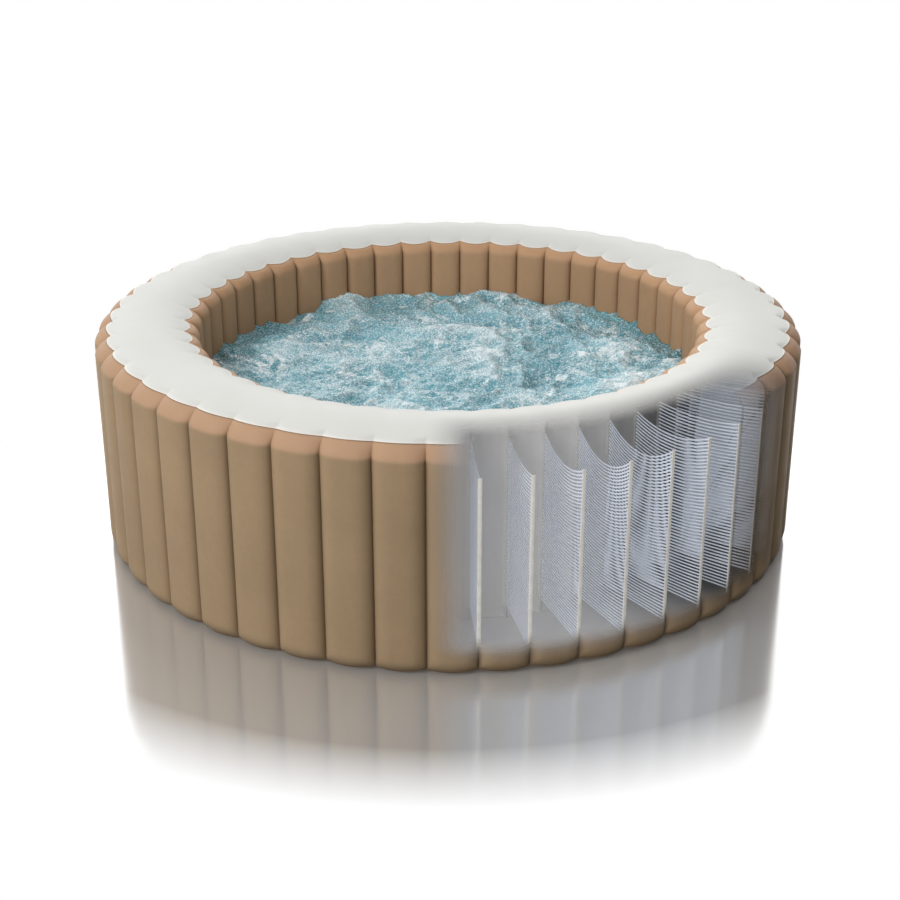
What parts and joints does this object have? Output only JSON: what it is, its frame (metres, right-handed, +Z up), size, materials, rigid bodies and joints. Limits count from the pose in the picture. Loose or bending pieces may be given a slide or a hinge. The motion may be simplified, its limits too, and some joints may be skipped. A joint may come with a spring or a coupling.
{
  "type": "inflatable hot tub",
  "caption": "Round inflatable hot tub with fluted vinyl walls tied by inner fibre webs, a crowned top panel, and capped water, air and drain ports at the back.",
  "frame": {"origin": "on the ground at the middle of the round tub, on the underside of its base sheet", "axes": "+Z up; -Y the front, as seen in the picture; +Y the back, where the water, air and drain ports are"},
  "size_m": [2.1586, 2.1921, 0.668],
  "materials": {
    "wall_vinyl": "satin",
    "top_vinyl": "satin",
    "base_vinyl": "matte",
    "web_fibre": "matte",
    "port_plastic": "satin",
    "sleeve_plastic": "satin",
    "grey_plastic": "satin",
    "seal_rubber": "matte",
    "ring_vinyl": "satin",
    "spring_steel": "satin"
  },
  "bodies": {
    "tub": {"outer_wall": "wall_vinyl", "inner_wall": "wall_vinyl", "top_panel": "top_vinyl", "base_sheet": "base_vinyl", "air_jet_ring": "ring_vinyl", "air_feed_elbow": "grey_plastic", "inflation_valve_body": "port_plastic", "inflation_valve_spring": "spring_steel", "tension_web_01": "web_fibre", "tension_web_02": "web_fibre", "tension_web_03": "web_fibre", "tension_web_04": "web_fibre", "tension_web_05": "web_fibre", "tension_web_06": "web_fibre", "tension_web_07": "web_fibre", "tension_web_08": "web_fibre", "tension_web_09": "web_fibre", "tension_web_10": "web_fibre", "tension_web_11": "web_fibre", "tension_web_12": "web_fibre", "tension_web_13": "web_fibre", "tension_web_14": "web_fibre", "tension_web_15": "web_fibre", "tension_web_16": "web_fibre", "tension_web_17": "web_fibre", "tension_web_18": "web_fibre", "tension_web_19": "web_fibre", "tension_web_20": "web_fibre", "tension_web_21": "web_fibre", "tension_web_22": "web_fibre", "tension_web_23": "web_fibre", "tension_web_24": "web_fibre", "water_inlet_sleeve": "sleeve_plastic", "water_inlet_fitting": "port_plastic", "water_inlet_strainer_housing": "grey_plastic", "water_outlet_sleeve": "sleeve_plastic", "water_outlet_fitting": "port_plastic", "water_outlet_strainer_housing": "grey_plastic", "air_sleeve": "sleeve_plastic", "air_fitting": "port_plastic", "drain_sleeve": "sleeve_plastic", "drain_fitting": "port_plastic"},
    "water_inlet_seal": {"water_inlet_cap_seal": "seal_rubber"},
    "water_inlet_cap": {"water_inlet_cap": "port_plastic"},
    "water_outlet_seal": {"water_outlet_cap_seal": "seal_rubber"},
    "water_outlet_cap": {"water_outlet_cap": "port_plastic"},
    "air_seal": {"air_cap_seal": "seal_rubber"},
    "air_cap": {"air_cap": "port_plastic"},
    "drain_seal": {"drain_cap_seal": "seal_rubber"},
    "drain_cap": {"drain_cap": "port_plastic"},
    "water_inlet_strainer": {"water_inlet_strainer": "grey_plastic"},
    "water_outlet_strainer": {"water_outlet_strainer": "grey_plastic"},
    "air_flap": {"air_non_return_flap": "seal_rubber"},
    "drain_plug": {"drain_inner_plug": "seal_rubber"},
    "valve_poppet": {"inflation_valve_poppet": "grey_plastic"},
    "valve_cap": {"inflation_valve_cap": "port_plastic"}
  },
  "joints": [
    {"name": "water_inlet_seal_lift", "type": "slide", "parent": "tub", "child": "water_inlet_seal", "axis": [0.1305, 0.9914, 0], "range_m": [0, 0.008]},
    {"name": "water_inlet_cap_turn", "type": "hinge", "parent": "water_inlet_seal", "child": "water_inlet_cap", "pos_m": [0.14349, 1.0899, 0.235], "axis": [0.1305, 0.9914, 0], "range_deg": [0, 720]},
    {"name": "water_outlet_seal_lift", "type": "slide", "parent": "tub", "child": "water_outlet_seal", "axis": [-0.1305, 0.9914, 0], "range_m": [0, 0.008]},
    {"name": "water_outlet_cap_turn", "type": "hinge", "parent": "water_outlet_seal", "child": "water_outlet_cap", "pos_m": [-0.14349, 1.0899, 0.235], "axis": [-0.1305, 0.9914, 0], "range_deg": [0, 720]},
    {"name": "air_seal_lift", "type": "slide", "parent": "tub", "child": "air_seal", "axis": [0, 1, 0], "range_m": [0, 0.008]},
    {"name": "air_cap_turn", "type": "hinge", "parent": "air_seal", "child": "air_cap", "pos_m": [0, 1.0993, 0.11], "axis": [0, 1, 0], "range_deg": [0, 720]},
    {"name": "drain_seal_lift", "type": "slide", "parent": "tub", "child": "drain_seal", "axis": [-0.2588, 0.9659, 0], "range_m": [0, 0.008]},
    {"name": "drain_cap_turn", "type": "hinge", "parent": "drain_seal", "child": "drain_cap", "pos_m": [-0.28452, 1.06184, 0.075], "axis": [-0.2588, 0.9659, 0], "range_deg": [0, 720]},
    {"name": "water_inlet_strainer_turn", "type": "hinge", "parent": "tub", "child": "water_inlet_strainer", "pos_m": [0.09861, 0.74904, 0.235], "axis": [-0.1305, -0.9914, 0], "range_deg": [0, 45]},
    {"name": "water_outlet_strainer_turn", "type": "hinge", "parent": "tub", "child": "water_outlet_strainer", "pos_m": [-0.09861, 0.74904, 0.235], "axis": [0.1305, -0.9914, 0], "range_deg": [0, 45]},
    {"name": "air_flap_swing", "type": "hinge", "parent": "tub", "child": "air_flap", "pos_m": [0, 1.0577, 0.1232], "axis": [-1, 0, 0], "range_deg": [0, 60]},
    {"name": "drain_plug_pull", "type": "slide", "parent": "tub", "child": "drain_plug", "axis": [0.2588, -0.9659, 0], "range_m": [0, 0.02]},
    {"name": "valve_poppet_push", "type": "slide", "parent": "tub", "child": "valve_poppet", "axis": [-0.3827, -0.9239, 0], "range_m": [0, 0.005], "stiffness_N_per_m": 300, "springref_m": -0.002, "deforming": ["inflation_valve_spring"]},
    {"name": "valve_cap_open", "type": "hinge", "parent": "tub", "child": "valve_cap", "pos_m": [0.41544, 1.00296, 0.584], "axis": [0.9239, -0.3827, 0], "range_deg": [0, 150]}
  ],
  "couplings": [
    {"joint": "water_inlet_seal_lift", "follows": "water_inlet_cap_turn", "m_per_rad": 0.000636},
    {"joint": "water_outlet_seal_lift", "follows": "water_outlet_cap_turn", "m_per_rad": 0.000636},
    {"joint": "air_seal_lift", "follows": "air_cap_turn", "m_per_rad": 0.000636},
    {"joint": "drain_seal_lift", "follows": "drain_cap_turn", "m_per_rad": 0.000636}
  ]
}
